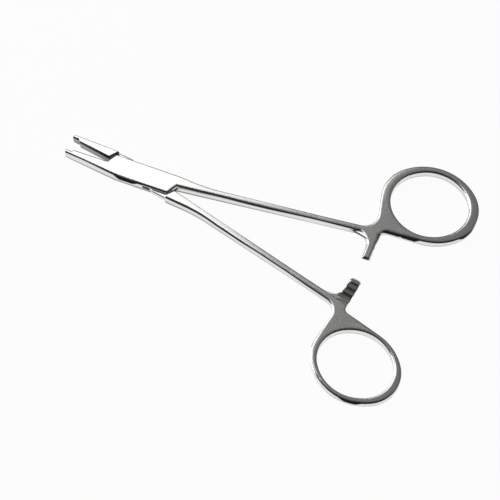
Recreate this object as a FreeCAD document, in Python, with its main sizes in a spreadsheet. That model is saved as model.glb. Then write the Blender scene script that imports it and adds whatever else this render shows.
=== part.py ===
import FreeCAD, Part
import math
import os
import Sketcher

V = FreeCAD.Vector

# Lengths below this, in millimetres, count as nothing when edges are told apart
SMALL = 0.01

os.makedirs("parts", exist_ok=True)
doc = FreeCAD.newDocument("dermal_anchor_forceps")

# Driving dimensions, in millimetres and degrees
# Both halves are drawn closed, about the pivot axis, with X running from the pivot to the rings and
# Z measured from the middle plane of the instrument. Placement opens them to the rest pose.
DIMENSIONS = [
    ("rest_half_angle", "4.5"),
    ("box_thickness", "5.1"),
    ("box_half_width", "3.65"),
    ("box_outer_end", "11"),
    ("box_inner_end", "13"),
    ("flat_past_box", "1"),
    ("cheek_thickness", "1.6"),
    ("cheek_clearance", "0.05"),
    ("side_wall", "0.95"),
    ("side_wall_reach", "1.5"),
    ("side_clearance", "0.12"),
    ("shoulder_clearance", "0.35"),
    ("notch_angle", "31"),
    ("notch_round", "0.4"),
    ("tongue_arm", "5.5"),
    ("pin_radius", "1.5"),
    ("pin_clearance", "0.04"),
    ("half_gap", "0.04"),
    ("jaw_reach", "29"),
    ("jaw_tip_width", "1.5"),
    ("jaw_tip_height", "4.3"),
    ("jaw_tip_round", "0.9"),
    ("jaw_blend_offset", "9"),
    ("jaw_blend_round", "30"),
    ("recess_length", "2.4"),
    ("recess_depth", "0.6"),
    ("groove_radius", "0.8"),
    ("neck_offset", "22.5"),
    ("neck_outer", "2.95"),
    ("neck_round", "60"),
    ("shoulder_offset", "82.2"),
    ("shoulder_outer", "9.5"),
    ("shoulder_round", "5"),
    ("heel_inner", "7.72"),
    ("handle_height", "3.7"),
    ("taper_offset", "62"),
    ("edge_round", "0.5"),
    ("upper_ring_centre_x", "95.85"),
    ("upper_ring_centre_y", "25.1"),
    ("upper_ring_outer_long", "16.9"),
    ("upper_ring_outer_short", "14.45"),
    ("upper_ring_inner_long", "13.55"),
    ("upper_ring_inner_short", "12.5"),
    ("upper_ring_tilt", "-2"),
    ("lower_ring_centre_x", "97"),
    ("lower_ring_centre_y", "24.6"),
    ("lower_ring_outer_long", "15.6"),
    ("lower_ring_outer_short", "12.85"),
    ("lower_ring_inner_long", "13.05"),
    ("lower_ring_inner_short", "11.45"),
    ("lower_ring_tilt", "6"),
    ("heel_round", "2"),
    ("heel_lap", "0.3"),
    ("arm_left", "80.6"),
    ("upper_arm_width", "3.4"),
    ("lower_arm_width", "4"),
    ("upper_arm_past_axis", "2.8"),
    ("lower_arm_past_axis", "3.4"),
    ("arm_gap", "0.16"),
    ("arm_end_round", "0.9"),
    ("arm_root_round", "5"),
    ("arm_root_lap", "7.5"),
    ("arm_lap", "1.4"),
    ("arm_taper", "22"),
    ("arm_cove", "1.5"),
    ("tooth_pitch", "2.4"),
    ("tooth_depth", "0.6"),
    ("tooth_count", "3"),
    ("first_crest_past_axis", "1.6"),
    ("cut_margin", "2"),
]

sheet = doc.addObject("Spreadsheet::Sheet", "dims")
for row, (alias, value) in enumerate(DIMENSIONS, start=1):
    sheet.set("A%d" % row, alias)
    sheet.set("B%d" % row, value)
    sheet.setAlias("B%d" % row, alias)
doc.recompute()


def value_of(expression):
    """The number that an expression over the sheet gives now."""
    found = sheet.evalExpression(expression)
    return float(getattr(found, "Value", found))


def origin_plane(body, role):
    return next(plane for plane in body.Origin.OriginFeatures if plane.Role == role)


def new_sketch(body, name, role="XY_Plane", height=None):
    """A sketch on an origin plane of its body, raised by an expression where height is given."""
    sketch = body.newObject("Sketcher::SketchObject", name)
    sketch.AttachmentSupport = (origin_plane(body, role), [""])
    sketch.MapMode = "FlatFace"
    if height:
        sketch.setExpression(".AttachmentOffset.Base.z", height)
    return sketch


def bind_distance(sketch, kind, geometry, position, expression):
    """Place one coordinate of a point from the origin by an expression of either sign."""
    now = value_of(expression)
    if abs(now) < 1e-9:
        axis = -2 if kind == "DistanceX" else -1
        sketch.addConstraint(Sketcher.Constraint("PointOnObject", geometry, position, axis))
        return
    if now > 0:
        ends = (-1, 1, geometry, position)
        bound = expression
    else:
        ends = (geometry, position, -1, 1)
        bound = "-(%s)" % expression
    index = sketch.addConstraint(Sketcher.Constraint(kind, *ends, abs(now)))
    sketch.setExpression("Constraints[%d]" % index, bound)


class Oval:
    """An oval of four arcs that meet halfway between its axes, as one stretch of an outline.
    A place on it is named by the direction in which its surface faces there."""

    def __init__(self, x, y, long_half, short_half, tilt, side=1):
        self.sizes = (x, y, long_half, short_half, tilt)
        self.side = side
        self.shift = "(((%s) - (%s)) * (1 + sqrt(0.5)))" % (long_half, short_half)
        self.centre = V(value_of(x), value_of(y), 0)
        self.turn = math.radians(value_of(tilt))

    def mirrored(self):
        x, y, long_half, short_half, tilt = self.sizes
        return Oval(x, "-(%s)" % y, long_half, short_half, "-(%s)" % tilt, -self.side)

    def quarter(self, facing):
        """Which arc faces this way: 0 and 2 close the long axis, 1 and 3 the short one."""
        return round((facing - self.turn) / (math.pi / 2)) % 4

    def arc_sizes(self, quarter):
        """The centre's x and y and the radius of one arc, as expressions."""
        x, y, long_half, short_half, tilt = self.sizes
        heading = "((%s + %d) * 1 deg)" % (tilt, 90 * quarter)
        sign = "-" if quarter % 2 else "+"
        radius = "%s + %s" % (short_half, self.shift) if quarter % 2 else "%s - %s" % (long_half, self.shift)
        return ("%s %s %s * cos(%s)" % (x, sign, self.shift, heading),
                "%s %s %s * sin(%s)" % (y, sign, self.shift, heading), radius)

    def circle(self, quarter):
        x, y, radius = self.arc_sizes(quarter)
        return Part.Circle(V(value_of(x), value_of(y), 0), V(0, 0, 1), value_of(radius))

    def point(self, facing):
        circle = self.circle(self.quarter(facing))
        return circle.Center + V(math.cos(facing), math.sin(facing), 0) * circle.Radius

    def tangent_from(self, outside, turn):
        """Where a line from outside touches, on the side that turn names."""
        for quarter in range(4):
            circle = self.circle(quarter)
            offset = outside - circle.Center
            if offset.Length < circle.Radius:
                continue
            facing = math.atan2(offset.y, offset.x) + turn * math.acos(circle.Radius / offset.Length)
            if self.quarter(facing) == quarter:
                return facing
        raise RuntimeError("no line from %s touches the oval" % outside)

    def stretches(self, first, last):
        """The arcs from one facing to another against the clock, each (quarter, from, to)."""
        while last <= first:
            last += 2 * math.pi
        found = []
        while first < last - 1e-9:
            step = math.floor((first - self.turn) / (math.pi / 2) + 0.5 + 1e-9)
            border = self.turn + (step + 0.5) * math.pi / 2
            found.append((step % 4, first, min(border, last)))
            first = border
        return found


def draw_outline(sketch, corners):
    """A closed outline of corners, each (x, y, radius) as expressions with None for a sharp one,
    and at most one Oval between two of them."""
    count = len(corners)
    places = [None if isinstance(c, Oval) else V(value_of(c[0]), value_of(c[1]), 0) for c in corners]
    arrivals = list(places)
    departures = list(places)
    oval_ends = None
    for index, corner in enumerate(corners):
        if isinstance(corner, Oval):
            came_from = places[index - 1]
            going_to = places[(index + 1) % count]
            oval_ends = (corner.tangent_from(came_from, -corner.side),
                         corner.tangent_from(going_to, corner.side))
            arrivals[index] = corner.point(oval_ends[0])
            departures[index] = corner.point(oval_ends[1])

    starts = list(departures)
    ends = list(arrivals)
    arcs = {}
    for index, corner in enumerate(corners):
        if isinstance(corner, Oval) or not corner[2]:
            continue
        radius = value_of(corner[2])
        place = places[index]
        before = (departures[index - 1] - place).normalize()
        after = (arrivals[(index + 1) % count] - place).normalize()
        half_turn = before.getAngle(after) / 2
        ends[index] = place + before * (radius / math.tan(half_turn))
        starts[index] = place + after * (radius / math.tan(half_turn))
        centre = place + (before + after).normalize() * (radius / math.sin(half_turn))
        turns_left = after.cross(before).z > 0
        arcs[index] = (Part.Circle(centre, V(0, 0, 1), radius), centre, turns_left)

    lines = []
    for index in range(count):
        segment = Part.LineSegment(starts[index], ends[(index + 1) % count])
        lines.append(sketch.addGeometry(segment, False))
    for index, corner in enumerate(corners):
        arriving = lines[index - 1]
        leaving = lines[index]
        if isinstance(corner, Oval):
            join_oval(sketch, corner, oval_ends, arriving, leaving)
        elif index not in arcs:
            sketch.addConstraint(Sketcher.Constraint("Coincident", arriving, 2, leaving, 1))
            bind_distance(sketch, "DistanceX", leaving, 1, corner[0])
            bind_distance(sketch, "DistanceY", leaving, 1, corner[1])
        else:
            circle, centre, turns_left = arcs[index]
            first, last = (ends[index], starts[index]) if turns_left else (starts[index], ends[index])
            near, far = (1, 2) if turns_left else (2, 1)
            sweep = [math.atan2(point.y - centre.y, point.x - centre.x) for point in (first, last)]
            arc = sketch.addGeometry(Part.ArcOfCircle(circle, *sweep), False)
            sketch.addConstraint(Sketcher.Constraint("Tangent", arriving, 2, arc, near))
            sketch.addConstraint(Sketcher.Constraint("Tangent", arc, far, leaving, 1))
            size = sketch.addConstraint(Sketcher.Constraint("Radius", arc, circle.Radius))
            sketch.setExpression("Constraints[%d]" % size, corner[2])
            corner_point = sketch.addGeometry(Part.Point(places[index]), True)
            sketch.addConstraint(Sketcher.Constraint("PointOnObject", corner_point, 1, arriving))
            sketch.addConstraint(Sketcher.Constraint("PointOnObject", corner_point, 1, leaving))
            bind_distance(sketch, "DistanceX", corner_point, 1, corner[0])
            bind_distance(sketch, "DistanceY", corner_point, 1, corner[1])


def draw_arcs(sketch, oval, first, last):
    """The arcs of an oval from one facing to another, tangent in a chain, with one radius bound.
    In a closed chain the last centre needs only its x, because its neighbours hold it."""
    arcs = []
    stretches = oval.stretches(first, last)
    closed = last - first > 2 * math.pi - 1e-9
    for quarter, start, end in stretches:
        arc = sketch.addGeometry(Part.ArcOfCircle(oval.circle(quarter), start, end), False)
        x, y, radius = oval.arc_sizes(quarter)
        bind_distance(sketch, "DistanceX", arc, 3, x)
        if not (closed and len(arcs) == len(stretches) - 1):
            bind_distance(sketch, "DistanceY", arc, 3, y)
        if arcs:
            sketch.addConstraint(Sketcher.Constraint("Tangent", arcs[-1], 2, arc, 1))
        else:
            size = sketch.addConstraint(Sketcher.Constraint("Radius", arc, value_of(radius)))
            sketch.setExpression("Constraints[%d]" % size, radius)
        arcs.append(arc)
    if closed:
        sketch.addConstraint(Sketcher.Constraint("Tangent", arcs[-1], 2, arcs[0], 1))
    return arcs


def join_oval(sketch, oval, oval_ends, arriving, leaving):
    clockwise = oval.side > 0
    first, last = (oval_ends[1], oval_ends[0]) if clockwise else oval_ends
    arcs = draw_arcs(sketch, oval, first, last)
    if clockwise:
        sketch.addConstraint(Sketcher.Constraint("Tangent", arriving, 2, arcs[-1], 2))
        sketch.addConstraint(Sketcher.Constraint("Tangent", arcs[0], 1, leaving, 1))
    else:
        sketch.addConstraint(Sketcher.Constraint("Tangent", arriving, 2, arcs[0], 1))
        sketch.addConstraint(Sketcher.Constraint("Tangent", arcs[-1], 2, leaving, 1))


def draw_circle(sketch, x, y, radius):
    circle = sketch.addGeometry(Part.Circle(V(value_of(x), value_of(y), 0), V(0, 0, 1), value_of(radius)))
    bind_distance(sketch, "DistanceX", circle, 3, x)
    bind_distance(sketch, "DistanceY", circle, 3, y)
    size = sketch.addConstraint(Sketcher.Constraint("Radius", circle, value_of(radius)))
    sketch.setExpression("Constraints[%d]" % size, radius)


def draw_oval(sketch, oval):
    start = oval.turn + math.pi / 4
    draw_arcs(sketch, oval, start, start + 2 * math.pi)


def pad(body, sketch, name, height, middle=True):
    feature = body.newObject("PartDesign::Pad", name)
    feature.Profile = sketch
    feature.SideType = "Symmetric" if middle else "One side"
    feature.setExpression("Length", height)
    doc.recompute()
    return feature


def pocket(body, sketch, name, depth=None, up=True):
    """Cut a profile out: right through both ways, or for one depth up or down from its plane."""
    before = body.Shape.Volume
    feature = body.newObject("PartDesign::Pocket", name)
    feature.Profile = sketch
    if depth:
        feature.setExpression("Length", depth)
        feature.Reversed = up
    else:
        feature.SideType = "Symmetric"
        feature.Type = "ThroughAll"
    doc.recompute()
    if body.Shape.Volume >= before - 1e-6:
        raise RuntimeError("%s cuts nothing" % name)
    return feature


def mirrored(corners, side):
    """The same outline on the other side of the X axis where side is negative."""
    if side > 0:
        return corners
    return [c.mirrored() if isinstance(c, Oval) else (c[0], "-(%s)" % c[1], c[2]) for c in corners]


# Derived sizes, as expressions over the sheet
WAIST = "(dims.box_half_width - dims.side_wall - dims.side_clearance)"
SLOT_REACH = "(dims.box_half_width - dims.side_wall)"
MALE_INNER_END = "(dims.box_inner_end + dims.shoulder_clearance)"
MALE_OUTER_END = "(dims.box_outer_end + dims.shoulder_clearance)"
SLOT_HEIGHT = "(dims.box_thickness - 2 * dims.cheek_thickness)"
TONGUE_HEIGHT = "(%s - 2 * dims.cheek_clearance)" % SLOT_HEIGHT
BEYOND = "(dims.box_half_width + dims.cut_margin)"


def own(side, name):
    """A size that the upper and the lower half each have for themselves."""
    return "dims.%s_%s" % ("upper" if side > 0 else "lower", name)


def arm_right(side):
    return "(dims.arm_left + %s)" % own(side, "arm_width")


def arm_middle(side):
    return "(dims.arm_left + %s / 2)" % own(side, "arm_width")


def shank_inner(x, side):
    """Height of the straight inner edge of the shank at a distance x from the pivot."""
    slope = "(dims.heel_inner - dims.half_gap) / (%s - dims.box_inner_end)" % arm_right(side)
    return "(dims.half_gap + (%s - dims.box_inner_end) * %s)" % (x, slope)


def ring(side, edge):
    """The outer or inner oval of a finger ring, on the upper side of the axis."""
    return Oval(own(side, "ring_centre_x"), own(side, "ring_centre_y"),
                own(side, "ring_%s_long" % edge), own(side, "ring_%s_short" % edge), own(side, "ring_tilt"))


def handle(side):
    """The handle part of an outline, from the neck behind the box out to the ring and back to the heel."""
    return [
        ("dims.neck_offset", "dims.neck_outer", "dims.neck_round"),
        ("dims.shoulder_offset", "dims.shoulder_outer", "dims.shoulder_round"),
        ring(side, "outer"),
        (arm_right(side), "dims.heel_inner + dims.heel_round + dims.heel_lap", "dims.heel_round"),
        (arm_right(side), "dims.heel_inner", None),
    ]


# The jaw part of either outline, from the side of the box to the outer corner of the tip
JAW = [
    ("-dims.jaw_blend_offset", "-dims.box_half_width", "dims.jaw_blend_round"),
    ("-dims.jaw_reach", "-dims.jaw_tip_width", "dims.jaw_tip_round"),
    ("-dims.jaw_reach", "-dims.half_gap", None),
]

FEMALE_OUTLINE = [
    ("-dims.box_inner_end", "-dims.half_gap", None),
    ("-dims.box_outer_end", "dims.box_half_width", None),
    ("dims.box_inner_end", "dims.box_half_width", "dims.neck_round"),
] + handle(1) + [
    ("dims.box_inner_end", "dims.half_gap", None),
    ("dims.box_outer_end", "-dims.box_half_width", None),
] + JAW

NOTCH_X = "cos(dims.notch_angle * 1 deg)"
NOTCH_Y = "sin(dims.notch_angle * 1 deg)"
NOTCH_OUT = "(dims.box_half_width / tan(dims.notch_angle * 1 deg))"
MALE_FORK = shank_inner(MALE_INNER_END, -1)

MALE_OUTLINE = [
    ("-" + MALE_INNER_END, "-dims.half_gap", None),
    ("-dims.tongue_arm", WAIST, None),
    ("0", WAIST, None),
    (WAIST + " * " + NOTCH_X, WAIST + " * " + NOTCH_Y, "dims.notch_round"),
    (NOTCH_OUT, "dims.box_half_width", None),
    ("dims.box_inner_end", "dims.box_half_width", "dims.neck_round"),
] + handle(-1) + [
    (MALE_INNER_END, MALE_FORK, None),
    ("dims.tongue_arm", "-" + WAIST, None),
    ("0", "-" + WAIST, None),
    ("-" + WAIST + " * " + NOTCH_X, "-" + WAIST + " * " + NOTCH_Y, "dims.notch_round"),
    ("-" + NOTCH_OUT, "-dims.box_half_width", None),
] + JAW

# The space that the tongue needs in the box: closed against two solid quarters, open on the others
SLOT = [
    ("-" + MALE_INNER_END, "-dims.side_clearance", None),
    ("-dims.tongue_arm", "-" + SLOT_REACH, None),
    ("dims.side_wall_reach", "-" + SLOT_REACH, None),
    ("dims.side_wall_reach", "-" + BEYOND, None),
    (MALE_INNER_END, "-" + BEYOND, None),
    (MALE_INNER_END, "dims.side_clearance", None),
    ("dims.tongue_arm", SLOT_REACH, None),
    ("-dims.side_wall_reach", SLOT_REACH, None),
    ("-dims.side_wall_reach", BEYOND, None),
    ("-" + MALE_INNER_END, BEYOND, None),
]

# The hollow above and below the tongue that takes one cheek
BAY_REACH = "(%s - (%s - %s) * dims.cut_margin / (dims.box_half_width - dims.half_gap))" % (
    MALE_OUTER_END, MALE_INNER_END, MALE_OUTER_END)
CHEEK_BAY = [
    ("-" + MALE_INNER_END, "-dims.half_gap", None),
    ("-" + MALE_INNER_END, BEYOND, None),
    (BAY_REACH, BEYOND, None),
    (MALE_INNER_END, MALE_FORK, None),
    (MALE_INNER_END, "-" + BEYOND, None),
    ("-" + BAY_REACH, "-" + BEYOND, None),
]

ARM_START = "(dims.arm_left - dims.arm_root_lap)"


def arm_outline(side):
    """The ratchet arm at its tooth face, from inside the shank round the tip and back into the shank."""
    return [
        (ARM_START, shank_inner(ARM_START, side) + " + dims.arm_lap", None),
        (ARM_START, shank_inner(ARM_START, side), None),
        ("dims.arm_left", shank_inner("dims.arm_left", side), "dims.arm_root_round"),
        ("dims.arm_left", "-" + own(side, "arm_past_axis"), "dims.arm_end_round"),
        (arm_right(side), "-" + own(side, "arm_past_axis"), "dims.arm_end_round"),
        (arm_right(side), "dims.heel_inner + dims.arm_lap", None),
    ]


RECESS_END = "(dims.jaw_reach - dims.recess_length)"
RECESS = [
    ("-dims.jaw_reach - dims.cut_margin", "-dims.half_gap - dims.recess_depth", None),
    ("-" + RECESS_END, "-dims.half_gap - dims.recess_depth", None),
    ("-" + RECESS_END, "dims.cut_margin", None),
    ("-dims.jaw_reach - dims.cut_margin", "dims.cut_margin", None),
]

HALF_BOX = "(dims.box_thickness / 2)"
HALF_HANDLE = "(dims.handle_height / 2)"
TAPER_START = "(dims.box_inner_end + dims.flat_past_box)"
CUT_TOP = "(dims.box_thickness / 2 + dims.cut_margin)"
HANDLE_END = "(dims.upper_ring_centre_x + dims.upper_ring_outer_long + 2 * dims.cut_margin)"


def taper_outline(side):
    """The side view material above the handle, cut away from the top or the bottom of a half."""
    return mirrored([
        (TAPER_START, HALF_BOX, None),
        ("dims.taper_offset", HALF_HANDLE, None),
        (HANDLE_END, HALF_HANDLE, None),
        (HANDLE_END, CUT_TOP, None),
        (TAPER_START, CUT_TOP, None),
    ], side)


def jaw_taper_outline(side):
    return mirrored([
        ("-" + TAPER_START, HALF_BOX, None),
        ("-dims.jaw_reach", "dims.jaw_tip_height / 2", None),
        ("-dims.jaw_reach - dims.cut_margin", "dims.jaw_tip_height / 2", None),
        ("-dims.jaw_reach - dims.cut_margin", CUT_TOP, None),
        ("-" + TAPER_START, CUT_TOP, None),
    ], side)


def cut(body, name, corners, height=None, depth=None, up=True, role="XY_Plane"):
    sketch = new_sketch(body, name + "_sketch", role, height)
    draw_outline(sketch, corners)
    return pocket(body, sketch, name, depth, up)


def edge_names(shape, wanted):
    return ["Edge%d" % number for number, edge in enumerate(shape.Edges, start=1) if wanted(edge)]


def middle_of(edge):
    return edge.valueAt((edge.FirstParameter + edge.LastParameter) / 2)


def is_vertical(edge):
    box = edge.BoundBox
    return box.XLength < SMALL and box.YLength < SMALL


def on_rim(edge):
    """True on the outer rims of the top and bottom faces, which are rounded on the real forging."""
    point = middle_of(edge)
    box = edge.BoundBox
    between_jaws = abs(point.y) < 2 * value_of("dims.half_gap")
    at_tip = point.x < -value_of("dims.jaw_reach") + SMALL
    crease = box.XLength < SMALL and point.x < value_of("dims.taper_offset") + SMALL
    low = abs(point.z) < value_of(HALF_HANDLE) - SMALL
    return not (is_vertical(edge) or between_jaws or at_tip or crease or low)


def open_ring(body, side):
    hole = new_sketch(body, "ring_inner")
    inner = ring(side, "inner")
    draw_oval(hole, inner if side > 0 else inner.mirrored())
    pocket(body, hole, "finger_opening")


def shape_sides(body):
    """Taper the height from the box to the ring and to the jaw tip, above and below."""
    for side, name in ((1, "upper"), (-1, "lower")):
        cut(body, name + "_handle_taper", taper_outline(side), role="XZ_Plane")
        cut(body, name + "_jaw_taper", jaw_taper_outline(side), role="XZ_Plane")


def round_rims(body):
    base = body.Tip
    rims = edge_names(body.Shape, on_rim)
    fillet = body.newObject("PartDesign::Fillet", "rounded_rims")
    fillet.Base = (base, rims)
    fillet.setExpression("Radius", "dims.edge_round")
    doc.recompute()
    if "Invalid" in fillet.State:
        raise RuntimeError("the rims of %s can't be rounded" % body.Label)


def add_arm(body, side):
    """The ratchet arm, widest at its tooth face, and the cove between that face and the shank."""
    face = "%d * dims.arm_gap / 2" % side
    plan = new_sketch(body, "ratchet_arm_plan", height=face)
    draw_outline(plan, mirrored(arm_outline(side), side))
    arm = pad(body, plan, "ratchet_arm", HALF_HANDLE + " - dims.arm_gap / 2", middle=False)
    arm.Reversed = side < 0
    arm.setExpression("TaperAngle", "-dims.arm_taper")
    doc.recompute()

    wall = shank_inner("dims.arm_left", side)
    brink = "%d * (dims.edge_round - %s)" % (side, HALF_HANDLE)
    cove = new_sketch(body, "arm_cove_sketch", "YZ_Plane", arm_middle(side))
    draw_outline(cove, [
        ("%d * dims.heel_inner" % side, brink, None),
        ("%d * %s" % (side, wall), brink, None),
        ("%d * (%s - dims.arm_cove)" % (side, wall), face, None),
        ("%d * dims.heel_inner" % side, face, None),
    ])
    pad(body, cove, "arm_cove", own(side, "arm_width"))


def make_forging(name, side, outline):
    """One half as it leaves the forge and the grinder, before its slot, bore, tip and teeth are cut."""
    body = doc.addObject("PartDesign::Body", name)
    plan = new_sketch(body, "plan")
    draw_outline(plan, mirrored(outline, side))
    pad(body, plan, "forging", "dims.box_thickness")
    open_ring(body, side)
    shape_sides(body)
    round_rims(body)
    add_arm(body, side)
    return body


def bore(body, radius):
    hole = new_sketch(body, "pivot_bore_sketch")
    draw_circle(hole, "0", "0", radius)
    pocket(body, hole, "pivot_bore")


def shape_tip(body, side):
    """Thin the tip of the jaw and sink the half round seat for the post of an anchor behind it."""
    cut(body, "tip_recess", mirrored(RECESS, side))
    seat = new_sketch(body, "post_seat_sketch")
    draw_circle(seat, "-" + RECESS_END, "0", "dims.groove_radius")
    pocket(body, seat, "post_seat")


def cut_teeth(body, side):
    """Saw teeth across the face of the ratchet arm: steep towards the shank, sloped towards the tip.
    The face of the female arm looks down and that of the male arm looks up."""
    face = "%d * dims.arm_gap / 2" % side
    root = "%d * (dims.arm_gap / 2 + dims.tooth_depth)" % side
    above = "%d * (dims.arm_gap / 2 - dims.cut_margin / 2)" % side
    crest = "%d * -dims.first_crest_past_axis" % side
    next_crest = "%d * (dims.tooth_pitch - dims.first_crest_past_axis)" % side
    notch = new_sketch(body, "tooth_notch_sketch", "YZ_Plane", arm_middle(side))
    draw_outline(notch, [
        (crest, above, None),
        (crest, root, None),
        (next_crest, face, None),
        (next_crest, above, None),
    ])
    first = cut_across(body, notch, "tooth_notch", side)
    teeth = body.newObject("PartDesign::LinearPattern", "teeth")
    teeth.Originals = [first]
    teeth.Direction = (notch, ["H_Axis"])
    teeth.Reversed = side < 0
    teeth.setExpression("Length", "dims.tooth_pitch * (dims.tooth_count - 1)")
    teeth.setExpression("Occurrences", "dims.tooth_count")
    body.Tip = teeth
    doc.recompute()

    lead = new_sketch(body, "tooth_lead_sketch", "YZ_Plane", arm_middle(side))
    end = "%d * -%s" % (side, own(side, "arm_past_axis"))
    draw_outline(lead, [
        (crest, face, None),
        (crest, above, None),
        (end, above, None),
        (end, root, None),
    ])
    cut_across(body, lead, "tooth_lead", side)


def cut_across(body, sketch, name, side):
    """Cut a side view profile through the width of the ratchet arm and no further."""
    before = body.Shape.Volume
    feature = body.newObject("PartDesign::Pocket", name)
    feature.Profile = sketch
    feature.SideType = "Symmetric"
    feature.setExpression("Length", "%s + dims.cut_margin / 2" % own(side, "arm_width"))
    doc.recompute()
    if body.Shape.Volume >= before - 1e-6:
        raise RuntimeError("%s cuts nothing" % name)
    return feature


def place(body, angle):
    body.setExpression(".Placement.Base.z", HALF_BOX)
    body.Placement.Rotation = FreeCAD.Rotation(V(0, 0, 1), 0)
    body.setExpression(".Placement.Rotation.Angle", angle)


# Half with the box, the lower jaw and the upper ring
female = make_forging("female_half", 1, FEMALE_OUTLINE)
cut(female, "box_slot", SLOT, height="-%s / 2" % SLOT_HEIGHT, depth=SLOT_HEIGHT)
bore(female, "dims.pin_radius")
shape_tip(female, 1)
cut_teeth(female, 1)

# Half with the tongue, the upper jaw and the lower ring
male = make_forging("male_half", -1, MALE_OUTLINE)
for up, name in ((True, "upper"), (False, "lower")):
    level = "%d * %s / 2" % (1 if up else -1, TONGUE_HEIGHT)
    cut(male, name + "_cheek_bay", mirrored(CHEEK_BAY, -1), height=level, depth=HALF_BOX, up=up)
bore(male, "dims.pin_radius + dims.pin_clearance")
shape_tip(male, -1)
cut_teeth(male, -1)

# Rivet through the cheeks, ground flush with them
pin = doc.addObject("PartDesign::Body", "pivot_pin")
rivet = new_sketch(pin, "rivet_section")
draw_circle(rivet, "0", "0", "dims.pin_radius")
pad(pin, rivet, "rivet", "dims.box_thickness")

place(female, "dims.rest_half_angle")
place(male, "-dims.rest_half_angle")
place(pin, "0")
doc.recompute()

faulty = [item.Name for item in doc.Objects if "Invalid" in item.State or "Error" in item.State]
if faulty:
    raise RuntimeError("failed: %s" % ", ".join(faulty))
pieces = [female, male, pin]
for piece in pieces:
    if piece.Shape.isNull() or not piece.Shape.isValid() or len(piece.Shape.Solids) != 1:
        raise RuntimeError("%s has no sound solid" % piece.Label)
for piece in pieces:
    piece.Shape.exportStep(os.path.join("parts", piece.Label + ".step"))
    print(piece.Label, round(piece.Shape.Volume, 2), piece.Shape.BoundBox)
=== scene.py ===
import math

import bpy
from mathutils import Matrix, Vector

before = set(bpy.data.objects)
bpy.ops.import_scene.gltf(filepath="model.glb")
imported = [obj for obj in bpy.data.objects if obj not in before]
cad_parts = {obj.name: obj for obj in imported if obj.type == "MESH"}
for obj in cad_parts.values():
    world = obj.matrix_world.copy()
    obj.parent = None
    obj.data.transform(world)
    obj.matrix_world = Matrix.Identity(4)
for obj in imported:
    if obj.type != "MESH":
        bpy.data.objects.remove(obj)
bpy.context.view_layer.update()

MM = 0.001

# The photograph's viewpoint: angles in degrees, lengths in metres, lens and sensor in millimetres
VIEW_AZIMUTH = 25.9
VIEW_ELEVATION = 63.0
VIEW_TARGET = Vector((46.2, -10.2, 4.5)) * MM
VIEW_DISTANCE = 510.1 * MM
LENS = 109.6
SENSOR = 36.0

# The floor and the wall: lengths in metres, and light levels where 1 is white
STAGE_CORNERS = 96
FLOOR_REACH = 4.0
WALL_REACH = 3.9
WALL_HEIGHT = 4.0
WALL_SUNK = 0.01
FLOOR_COLOUR = (0.93, 0.93, 0.925, 1)
FLOOR_OWN_WHITE = 0.96
WHITE = (1, 1, 1, 1)
WALL_WHITE = (0.97, 0.97, 0.97, 1)

# The room's light levels, and the direction parts between which they change
ROOM_BACK = (-0.437, 0.9, 0)
ROOM_GREY = 0.17
ROOM_DARK = 0.015
ROOM_PLAIN = 0.12
ROOM_BACK_EDGE = (-0.20, -0.02)
ROOM_HIGH_EDGE = (0.52, 0.76)
ROOM_BAND_EDGE = (0.28, 0.42)

# The lamps: place, the point that it faces, width and height in metres, and light level
LAMPS = {
    "window_box": ((-0.46, 0.28, 0.60), (-0.46, 0.28, 0), 0.74, 0.48, 1.5),
    "left_box": ((-0.75, -0.10, 0.36), (0.03, 0, 0), 0.60, 0.45, 3.6),
}

# The steel's colour and roughness, satin on top and polished round the sides
STEEL_COLOUR = (0.74, 0.735, 0.72)
SATIN_ROUGHNESS = 0.23
POLISHED_ROUGHNESS = 0.07
DULL_ROUGHNESS = 0.25
SATIN_EDGE = (0.93, 0.995)
UPRIGHT_EDGE = (0.3, 0.9)

# The unevenness of the finish: scales per metre, and strengths
GRAIN_SCALE = 5200
GRAIN_STRETCH = (0.35, 1, 1)
GRAIN_DEPTH = 0.0012 * MM
GRAIN_STRENGTH = 0.15
CLOUD_SCALE = 90
CLOUD_DETAIL = 5
CLOUD_STRENGTH = 0.10
CLOUD_LEAST = 0.95

# How the polished sides are crowned, in metres above the rest face
MIDDLE_HEIGHT = 2.55 * MM
CROWN_REACH = 1.85 * MM
CROWN_SCALE = 38
CROWN_UNEVEN = [(0.35, 0.45), (0.65, 1.6)]
EDGE_ROUND = 0.85 * MM
EDGE_SAMPLES = 8

# Places where the edges stay as they are, the pin and the teeth: x, y and reach in millimetres
SHARP_PLACES = [(0, 0, 3.6), (80.6, -10.6, 7.5)]
SHARP_CORE = 0.7

# The rounded bodies of the finger rings: centre, outer and inner half widths in millimetres, tilt in degrees,
# and the place and reach of the heel, which stays flat
RINGS = [
    ((93.59, 32.54), (16.9, 14.45), (13.55, 12.5), 2.5, (80.5, 21.0, 9.0)),
    ((94.77, -32.13), (15.6, 12.85), (13.05, 11.45), -10.5, (81.5, -21.5, 9.0)),
]
RING_LEAN = 0.15
RING_EDGE = (1.1, 1.7)
HEEL_CORE = 0.6

# Places where the sides are rounded over by hand: x, y and reach in millimetres
ROUNDED_OVER = [
    (-4.5, -3.65, 4.6),
    (86.5, 16.8, 4.0),
    (92.0, 17.9, 4.0),
    (108.7, 28.4, 4.2),
    (98.1, -43.8, 4.0),
]
ROUNDED_LEAN = 1.1
ROUNDED_CORE = 0.55

# The painted shade along the bottom edge of the sides and on the gripping faces, where the colour is darkened
# and the roughness raised, in metres
MARGIN_EDGE = (1.0 * MM, 1.5 * MM)
MARGIN_SHADE_AND_DULL = 0.62
GRIP_START = -9.6 * MM
GRIP_END = -24 * MM
GRIP_FADE = 0.5 * MM
GRIP_SHADE_AND_DULL = (0.96, 0.55)
GRIP_EDGE = (0.5, 0.8)


def new_material(name):
    material = bpy.data.materials.new(name)
    material.use_nodes = True
    material.node_tree.nodes.clear()
    return material, material.node_tree


def add_node(tree, kind, **settings):
    node = tree.nodes.new(kind)
    for key, value in settings.items():
        setattr(node, key, value)
    return node


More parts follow.
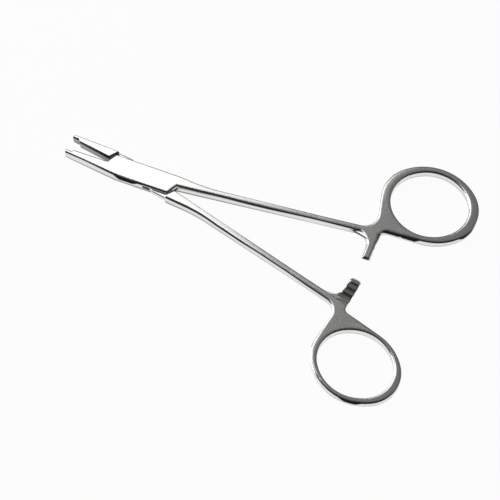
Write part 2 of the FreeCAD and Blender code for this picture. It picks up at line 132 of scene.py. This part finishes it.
def link(tree, start, end):
    tree.links.new(start, end)


def math_node(tree, operation, *values, clamp=False):
    """A Math node, whose inputs are numbers or the outputs of other nodes."""
    node = add_node(tree, "ShaderNodeMath", operation=operation, use_clamp=clamp)
    for socket, value in zip(node.inputs, values):
        if isinstance(value, (int, float)):
            socket.default_value = value
        else:
            link(tree, value, socket)
    return node.outputs[0]


def vector_node(tree, operation, first, second=None, output="Vector"):
    """A Vector Math node, whose second input is an output of another node or plain numbers."""
    node = add_node(tree, "ShaderNodeVectorMath", operation=operation)
    link(tree, first, node.inputs[0])
    if isinstance(second, tuple):
        node.inputs[1].default_value = second
    elif second is not None:
        link(tree, second, node.inputs[1])
    return node.outputs[output]


def ramp(tree, factor, stops):
    node = add_node(tree, "ShaderNodeValToRGB")
    for element, (place, level) in zip(node.color_ramp.elements, stops):
        element.position = place
        element.color = (level, level, level, 1)
    link(tree, factor, node.inputs["Fac"])
    return node.outputs["Color"]


def map_range(tree, value, start, end, low, high):
    node = add_node(tree, "ShaderNodeMapRange", clamp=True)
    link(tree, value, node.inputs["Value"])
    for name, level in (("From Min", start), ("From Max", end), ("To Min", low), ("To Max", high)):
        node.inputs[name].default_value = level
    return node.outputs["Result"]


def noise(tree, coordinate, scale, stretch, detail):
    mapping = add_node(tree, "ShaderNodeMapping")
    mapping.inputs["Scale"].default_value = stretch
    link(tree, coordinate, mapping.inputs["Vector"])
    node = add_node(tree, "ShaderNodeTexNoise")
    node.inputs["Scale"].default_value = scale
    node.inputs["Detail"].default_value = detail
    link(tree, mapping.outputs["Vector"], node.inputs["Vector"])
    return node.outputs["Fac"]


def separate(tree, vector):
    node = add_node(tree, "ShaderNodeSeparateXYZ")
    link(tree, vector, node.inputs["Vector"])
    return node.outputs


def turn_normal(tree, normal, start, end):
    node = add_node(tree, "ShaderNodeVectorTransform", vector_type="NORMAL",
                    convert_from=start, convert_to=end)
    link(tree, normal, node.inputs["Vector"])
    return node.outputs["Vector"]


def scaled(tree, vector, amount):
    node = add_node(tree, "ShaderNodeVectorMath", operation="SCALE")
    link(tree, vector, node.inputs[0])
    link(tree, amount, node.inputs["Scale"])
    return node.outputs["Vector"]


def plan_distance(tree, plan, x, y):
    """How far a point is from the upright line through x and y, which are in millimetres."""
    return vector_node(tree, "DISTANCE", plan, (x * MM, y * MM, 0), output="Value")


def plan_place(tree, position):
    """A point's place seen from above, with its height left out."""
    flat = add_node(tree, "ShaderNodeCombineXYZ")
    link(tree, position["X"], flat.inputs["X"])
    link(tree, position["Y"], flat.inputs["Y"])
    return flat.outputs["Vector"]


def oval_distance(tree, plan, centre, radii, tilt):
    """1 on the oval, less inside it and more outside it."""
    mapping = add_node(tree, "ShaderNodeMapping", vector_type="TEXTURE")
    mapping.inputs["Location"].default_value = (centre[0] * MM, centre[1] * MM, 0)
    mapping.inputs["Rotation"].default_value = (0, 0, math.radians(tilt))
    mapping.inputs["Scale"].default_value = (radii[0] * MM, radii[1] * MM, 1)
    link(tree, plan, mapping.inputs["Vector"])
    return vector_node(tree, "LENGTH", mapping.outputs["Vector"], output="Value")


def across_ring(tree, plan, centre, outer, inner, tilt):
    """-1 on the ring's inner edge, 0 in the middle of its body and 1 on its outer edge."""
    past_inner = math_node(tree, "SUBTRACT", oval_distance(tree, plan, centre, inner, tilt), 1)
    short_of_outer = math_node(tree, "SUBTRACT", 1, oval_distance(tree, plan, centre, outer, tilt))
    difference = math_node(tree, "SUBTRACT", past_inner, short_of_outer)
    return math_node(tree, "DIVIDE", difference, math_node(tree, "ADD", past_inner, short_of_outer))


def ring_lean(tree, plan, centre, outer, inner, tilt, heel):
    """A vector away from the middle of the ring's body, longest at its edges."""
    across = across_ring(tree, plan, centre, outer, inner, tilt)
    nearby = map_range(tree, math_node(tree, "ABSOLUTE", across), *RING_EDGE, RING_LEAN, 0)
    heel_x, heel_y, reach = heel
    from_heel = plan_distance(tree, plan, heel_x, heel_y)
    off_heel = map_range(tree, from_heel, reach * HEEL_CORE * MM, reach * MM, 0, 1)
    inside = math_node(tree, "LESS_THAN", across, 0)
    allowed = math_node(tree, "MAXIMUM", off_heel, inside)
    amount = math_node(tree, "MULTIPLY", math_node(tree, "MULTIPLY", across, nearby), allowed)
    offset = vector_node(tree, "SUBTRACT", plan, (centre[0] * MM, centre[1] * MM, 0))
    return scaled(tree, vector_node(tree, "NORMALIZE", offset), amount)


def away_from_sharp(tree, plan):
    """0 round the pin and the teeth, and 1 elsewhere."""
    away = None
    for x, y, reach in SHARP_PLACES:
        distance = plan_distance(tree, plan, x, y)
        beyond = map_range(tree, distance, reach * SHARP_CORE * MM, reach * MM, 0, 1)
        away = beyond if away is None else math_node(tree, "MULTIPLY", away, beyond)
    return away


def vector_mix(tree, factor, first, second):
    """A Mix node for vectors, whose sockets have names that its other kinds share, so they go by number."""
    node = add_node(tree, "ShaderNodeMix", data_type="VECTOR")
    link(tree, factor, node.inputs["Factor"])
    link(tree, first, node.inputs[4])
    link(tree, second, node.inputs[5])
    return node.outputs[1]


def rounded_normal(tree, normal, plan):
    """The surface's direction in the piece's own frame, turning near the edges and across the rings."""
    bevel = add_node(tree, "ShaderNodeBevel", samples=EDGE_SAMPLES)
    bevel.inputs["Radius"].default_value = EDGE_ROUND
    own = turn_normal(tree, bevel.outputs["Normal"], "WORLD", "OBJECT")
    mixed = vector_mix(tree, away_from_sharp(tree, plan), normal, own)
    first, second = [ring_lean(tree, plan, *ring) for ring in RINGS]
    both = vector_node(tree, "ADD", first, second)
    return vector_node(tree, "NORMALIZE", vector_node(tree, "ADD", mixed, both))


def rounded_over(tree, plan):
    """The lean of the sides in the places that are rounded over by hand, and 0 elsewhere."""
    over = None
    for x, y, reach in ROUNDED_OVER:
        distance = plan_distance(tree, plan, x, y)
        near = map_range(tree, distance, reach * ROUNDED_CORE * MM, reach * MM, ROUNDED_LEAN, 0)
        over = near if over is None else math_node(tree, "MAXIMUM", over, near)
    return over


def crowned_normal(tree, place, plan, height, direction, upright):
    """The direction, leaning up towards the top edge and down towards the bottom edge."""
    above = math_node(tree, "SUBTRACT", height, MIDDLE_HEIGHT)
    share = math_node(tree, "DIVIDE", above, CROWN_REACH)
    unevenness = noise(tree, place, CROWN_SCALE, (1, 1, 0), detail=1)
    crown = math_node(tree, "MULTIPLY", share, ramp(tree, unevenness, CROWN_UNEVEN))
    over = math_node(tree, "MULTIPLY", rounded_over(tree, plan), upright)
    upward = add_node(tree, "ShaderNodeCombineXYZ")
    link(tree, math_node(tree, "ADD", crown, over), upward.inputs["Z"])
    total = vector_node(tree, "ADD", direction, upward.outputs["Vector"])
    return turn_normal(tree, vector_node(tree, "NORMALIZE", total), "OBJECT", "WORLD")


def gripping(tree, position, normal):
    """1 on the faces of the jaws that look at the gap between them, and 0 elsewhere."""
    side = math_node(tree, "SIGN", position["Y"])
    inward = math_node(tree, "MULTIPLY", math_node(tree, "MULTIPLY", normal["Y"], side), -1)
    facing = map_range(tree, inward, *GRIP_EDGE, 0, 1)
    ahead = map_range(tree, position["X"], GRIP_START, GRIP_START - GRIP_FADE, 0, 1)
    return math_node(tree, "MULTIPLY", facing, ahead)


def painted_shade_and_dullness(tree, position, normal, upright):
    """How much painted shade darkens the steel's colour, and how much rougher the steel is there: 0 where it
    is polished.
    """
    # Painted shade: a band along the bottom edge of the sides is darkened, standing in for the shade near the
    # floor, and is also made rougher.
    margin = map_range(tree, position["Z"], *MARGIN_EDGE, MARGIN_SHADE_AND_DULL, 0)
    margin = math_node(tree, "MULTIPLY", margin, upright)
    # Painted shade: the gripping faces are darkened, most near the box, standing in for the shade between the
    # jaws, and are also made rougher.
    grip_depth = map_range(tree, position["X"], GRIP_START, GRIP_END, *GRIP_SHADE_AND_DULL)
    grip = math_node(tree, "MULTIPLY", gripping(tree, position, normal), grip_depth)
    return math_node(tree, "MAXIMUM", margin, grip)


def tint(tree, shade_and_dull):
    """The steel's colour, darkened where shade is painted."""
    node = add_node(tree, "ShaderNodeVectorMath", operation="SCALE")
    node.inputs[0].default_value = STEEL_COLOUR
    link(tree, math_node(tree, "SUBTRACT", 1.0, shade_and_dull), node.inputs["Scale"])
    return node.outputs["Vector"]


def roughness(tree, place, satin, shade_and_dull):
    cloud = noise(tree, place, CLOUD_SCALE, (1, 1, 1), detail=CLOUD_DETAIL)
    spread = math_node(tree, "MULTIPLY_ADD", satin, SATIN_ROUGHNESS - POLISHED_ROUGHNESS, POLISHED_ROUGHNESS)
    uneven = math_node(tree, "MULTIPLY_ADD", cloud, CLOUD_STRENGTH, CLOUD_LEAST)
    polish = math_node(tree, "MULTIPLY", spread, uneven)
    return math_node(tree, "MULTIPLY_ADD", shade_and_dull, DULL_ROUGHNESS, polish)


def grained(tree, place, satin, normal):
    """The normal with the fine grain of the satin faces."""
    bump = add_node(tree, "ShaderNodeBump")
    bump.inputs["Distance"].default_value = GRAIN_DEPTH
    link(tree, math_node(tree, "MULTIPLY", satin, GRAIN_STRENGTH), bump.inputs["Strength"])
    link(tree, noise(tree, place, GRAIN_SCALE, GRAIN_STRETCH, detail=3), bump.inputs["Height"])
    link(tree, normal, bump.inputs["Normal"])
    return bump.outputs["Normal"]


def steel(name, plain=False):
    """Forged stainless steel: satin on the faces that look up or down, polished round the sides."""
    material, tree = new_material(name)
    output = add_node(tree, "ShaderNodeOutputMaterial")
    shader = add_node(tree, "ShaderNodeBsdfPrincipled")
    shader.inputs["Metallic"].default_value = 1.0
    link(tree, shader.outputs["BSDF"], output.inputs["Surface"])

    coordinates = add_node(tree, "ShaderNodeTexCoord")
    place = coordinates.outputs["Object"]
    normal = coordinates.outputs["Normal"]
    position = separate(tree, place)
    plan = plan_place(tree, position)
    own = separate(tree, normal)
    upright = map_range(tree, math_node(tree, "ABSOLUTE", own["Z"]), *UPRIGHT_EDGE, 1, 0)

    rounded = normal if plain else rounded_normal(tree, normal, plan)
    facing_up = math_node(tree, "ABSOLUTE", separate(tree, rounded)["Z"])
    satin_from, satin_to = SATIN_EDGE
    satin = ramp(tree, facing_up, [(satin_from, 0.0), (satin_to, 1.0)])
    shade_and_dull = painted_shade_and_dullness(tree, position, own, upright)
    crowned = crowned_normal(tree, place, plan, position["Z"], rounded, upright)

    # Painted shade: the base colour is darkened along the bottom edge and on the gripping faces.
    link(tree, tint(tree, shade_and_dull), shader.inputs["Base Color"])
    link(tree, roughness(tree, place, satin, shade_and_dull), shader.inputs["Roughness"])
    link(tree, grained(tree, place, satin, crowned), shader.inputs["Normal"])
    return material


def dress(node, material):
    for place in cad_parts[node].material_slots:
        place.material = material


def dress_all():
    forged = steel("forged_steel")
    dress("female_half", forged)
    dress("male_half", forged)
    dress("pivot_pin", steel("pin_steel", plain=True))


def make_floor():
    """A pale floor that keeps the shadow, and shows as nearly white to the camera and in the steel."""
    bpy.ops.mesh.primitive_circle_add(vertices=STAGE_CORNERS, radius=FLOOR_REACH, fill_type="NGON",
                                      location=(0, 0, 0))
    floor = bpy.context.object
    floor.name = "studio_floor"
    material, tree = new_material("studio_floor")
    output = add_node(tree, "ShaderNodeOutputMaterial")
    lit = add_node(tree, "ShaderNodeBsdfDiffuse")
    lit.inputs["Color"].default_value = FLOOR_COLOUR
    white = add_node(tree, "ShaderNodeEmission")
    white.inputs["Color"].default_value = WHITE
    path = add_node(tree, "ShaderNodeLightPath")
    seen = math_node(tree, "ADD", path.outputs["Is Camera Ray"], path.outputs["Is Glossy Ray"])
    seen = math_node(tree, "ADD", seen, path.outputs["Is Transmission Ray"], clamp=True)
    share = math_node(tree, "MULTIPLY", seen, FLOOR_OWN_WHITE)
    mix = add_node(tree, "ShaderNodeMixShader")
    link(tree, share, mix.inputs["Fac"])
    link(tree, lit.outputs["BSDF"], mix.inputs[1])
    link(tree, white.outputs["Emission"], mix.inputs[2])
    link(tree, mix.outputs["Shader"], output.inputs["Surface"])
    floor.data.materials.append(material)


def make_wall():
    """A pale wall all round, which only the camera sees, so that low views have a plain background."""
    bpy.ops.mesh.primitive_cylinder_add(vertices=STAGE_CORNERS, radius=WALL_REACH, depth=WALL_HEIGHT,
                                        end_fill_type="NOTHING",
                                        location=(0, 0, WALL_HEIGHT / 2 - WALL_SUNK))
    wall = bpy.context.object
    wall.name = "studio_wall"
    material, tree = new_material("studio_wall")
    output = add_node(tree, "ShaderNodeOutputMaterial")
    white = add_node(tree, "ShaderNodeEmission")
    white.inputs["Color"].default_value = WALL_WHITE
    link(tree, white.outputs["Emission"], output.inputs["Surface"])
    wall.data.materials.append(material)
    wall.visible_diffuse = False
    wall.visible_glossy = False
    wall.visible_transmission = False
    wall.visible_shadow = False


def room_level(tree, view):
    """How bright the room is in a direction."""
    height = separate(tree, view)["Z"]
    towards_back = vector_node(tree, "DOT_PRODUCT", view, ROOM_BACK, output="Value")
    behind = map_range(tree, towards_back, *ROOM_BACK_EDGE, 0, 1)
    high = map_range(tree, height, *ROOM_HIGH_EDGE, 0, 1)
    above_band = map_range(tree, height, *ROOM_BAND_EDGE, 0, 1)
    in_front = math_node(tree, "SUBTRACT", 1, behind)
    dark = math_node(tree, "MULTIPLY", in_front, above_band)
    patch = math_node(tree, "MULTIPLY", behind, high)
    plain = math_node(tree, "MULTIPLY_ADD", dark, ROOM_DARK - ROOM_PLAIN, ROOM_PLAIN)
    return math_node(tree, "MULTIPLY_ADD", patch, ROOM_GREY - ROOM_PLAIN, plain)


def make_world():
    """A grey room, darker high in front and a little brighter overhead and high at the back."""
    world = bpy.data.worlds.new("studio_room")
    bpy.context.scene.world = world
    world.use_nodes = True
    tree = world.node_tree
    tree.nodes.clear()
    output = add_node(tree, "ShaderNodeOutputWorld")
    background = add_node(tree, "ShaderNodeBackground")
    background.inputs["Strength"].default_value = 1.0
    place = add_node(tree, "ShaderNodeTexCoord")
    link(tree, room_level(tree, place.outputs["Generated"]), background.inputs["Color"])
    link(tree, background.outputs["Background"], output.inputs["Surface"])


def make_lamp(name, place, aim, width, height, level):
    lamp = bpy.data.lights.new(name, "AREA")
    lamp.shape = "RECTANGLE"
    lamp.size = width
    lamp.size_y = height
    lamp.energy = level * math.pi * width * height
    box = bpy.data.objects.new(name, lamp)
    bpy.context.scene.collection.objects.link(box)
    box.location = place
    box.rotation_mode = "QUATERNION"
    box.rotation_quaternion = (Vector(aim) - Vector(place)).to_track_quat("-Z", "Y")
    box.visible_camera = False


def make_camera():
    azimuth = math.radians(VIEW_AZIMUTH)
    elevation = math.radians(VIEW_ELEVATION)
    back = Vector((math.sin(azimuth) * math.cos(elevation),
                   -math.cos(azimuth) * math.cos(elevation),
                   math.sin(elevation)))
    data = bpy.data.cameras.new("photo_camera")
    data.lens = LENS
    data.sensor_width = SENSOR
    camera = bpy.data.objects.new("photo_camera", data)
    bpy.context.scene.collection.objects.link(camera)
    camera.location = VIEW_TARGET + back * VIEW_DISTANCE
    camera.rotation_mode = "QUATERNION"
    camera.rotation_quaternion = (-back).to_track_quat("-Z", "Y")
    bpy.context.scene.camera = camera


dress_all()
make_floor()
make_wall()
make_world()
for lamp_name, lamp_settings in LAMPS.items():
    make_lamp(lamp_name, *lamp_settings)
make_camera()
bpy.context.scene.view_settings.view_transform = "Standard"
